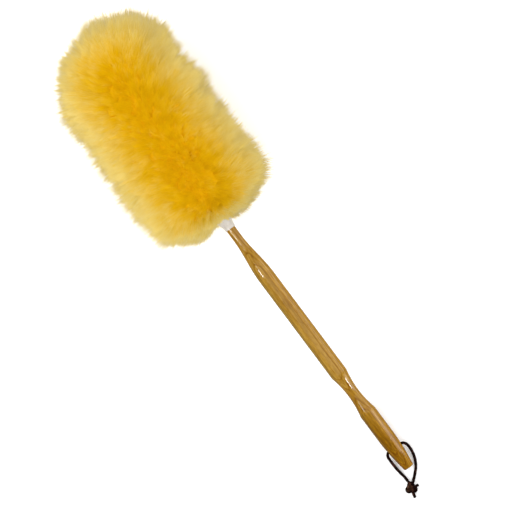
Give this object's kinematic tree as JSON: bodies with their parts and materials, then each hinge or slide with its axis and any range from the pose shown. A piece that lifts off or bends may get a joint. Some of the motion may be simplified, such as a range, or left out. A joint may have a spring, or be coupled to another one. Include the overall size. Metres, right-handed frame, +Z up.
{
  "type": "wheel brush",
  "caption": "Long-wool brush with a fluffy dyed sheepskin head, a slim turned wooden handle with a waisted grip, a white leather cuff and a leather hanging lace.",
  "frame": {"origin": "on the bench, under the middle of the brush's box (the lace isn't counted)", "axes": "+X along the brush towards the butt end of the handle, +Z up from the bench; the brush's own axis rises 8 degrees from the butt to the head"},
  "size_m": [0.5813, 0.142, 0.145],
  "materials": {
    "lacquered_wood": "clear gloss lacquer over straight-grained hardwood",
    "white_leather": "soft matt white hide",
    "hide_skin": "matt skin side of a sheepskin",
    "wool": "long dyed wool, amber at the root and straw at the tip",
    "foam": "matt closed-cell foam",
    "thread": "waxed sewing thread",
    "zinc_steel": "bright zinc",
    "brown_leather": "dark round leather lace, worn at the knot"
  },
  "bodies": {
    "brush": {"handle": "lacquered_wood", "neck_cuff": "white_leather", "cuff_seam_thread": "thread", "core_sleeve": "foam", "core_washer": "zinc_steel", "core_screw": "zinc_steel", "hide_sleeve": "hide_skin", "hide_tip_disc": "hide_skin", "sleeve_seam_thread": "thread", "neck_seam_thread": "thread", "tip_seam_thread": "thread", "wool_neck": "wool", "wool_lower": "wool", "wool_middle": "wool", "wool_upper": "wool", "wool_tip": "wool"},
    "hang_loop": {"lace_bight": "brown_leather", "lace_strand_left": "brown_leather", "lace_strand_right": "brown_leather", "lace_knot": "brown_leather", "lace_tail_long": "brown_leather", "lace_tail_short": "brown_leather"}
  },
  "joints": [
    {"name": "loop_swing", "type": "hinge", "parent": "brush", "child": "hang_loop", "pos_m": [0.25107, 0, 0.00892], "axis": [0, -1, 0], "range_deg": [-135, 150]}
  ]
}
